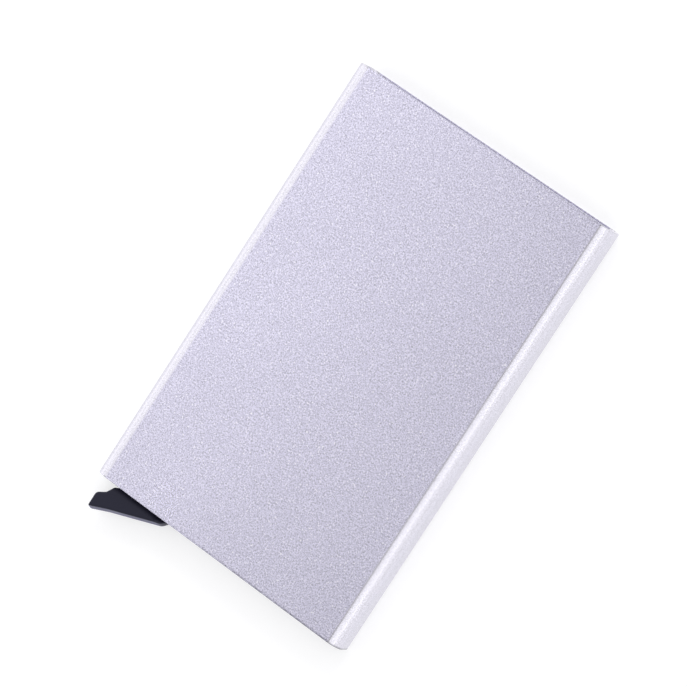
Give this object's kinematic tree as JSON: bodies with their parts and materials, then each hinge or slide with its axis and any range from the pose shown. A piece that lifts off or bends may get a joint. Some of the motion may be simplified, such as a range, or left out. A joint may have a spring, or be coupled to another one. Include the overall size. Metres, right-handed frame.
{
  "type": "pop-up card case",
  "caption": "Slim aluminium card case, open at its mouth, with a black finger lever at one lower corner that pushes the cards out in steps.",
  "frame": {"origin": "centre of the case tube's flat back face, on the surface that it lies on", "axes": "+X across the case, away from the lever's side; +Y up to the card mouth; +Z out of the front face"},
  "size_m": [0.063, 0.1056, 0.008],
  "materials": {
    "anodised_aluminium": "bead-blasted and clear anodised",
    "black_plastic": "moulded, fine spark texture",
    "lever_plastic": "moulded, satin",
    "steel": "ground",
    "foam": "closed-cell foam",
    "pile": "short cut pile"
  },
  "bodies": {
    "case": {"case_tube": "anodised_aluminium", "end_frame": "black_plastic", "end_cover": "black_plastic", "pivot_pin": "steel", "side_rail_left": "black_plastic", "side_rail_right": "black_plastic", "foam_strip_left": "foam", "foam_strip_right": "foam", "pile_strip_left": "pile", "pile_strip_right": "pile"},
    "lever": {"eject_lever": "lever_plastic"}
  },
  "joints": [
    {"name": "lever_swing", "type": "hinge", "parent": "case", "child": "lever", "pos_m": [-0.0245, -0.0438, 0.004], "axis": [0, 0, 1], "range_deg": [0, 36]}
  ]
}
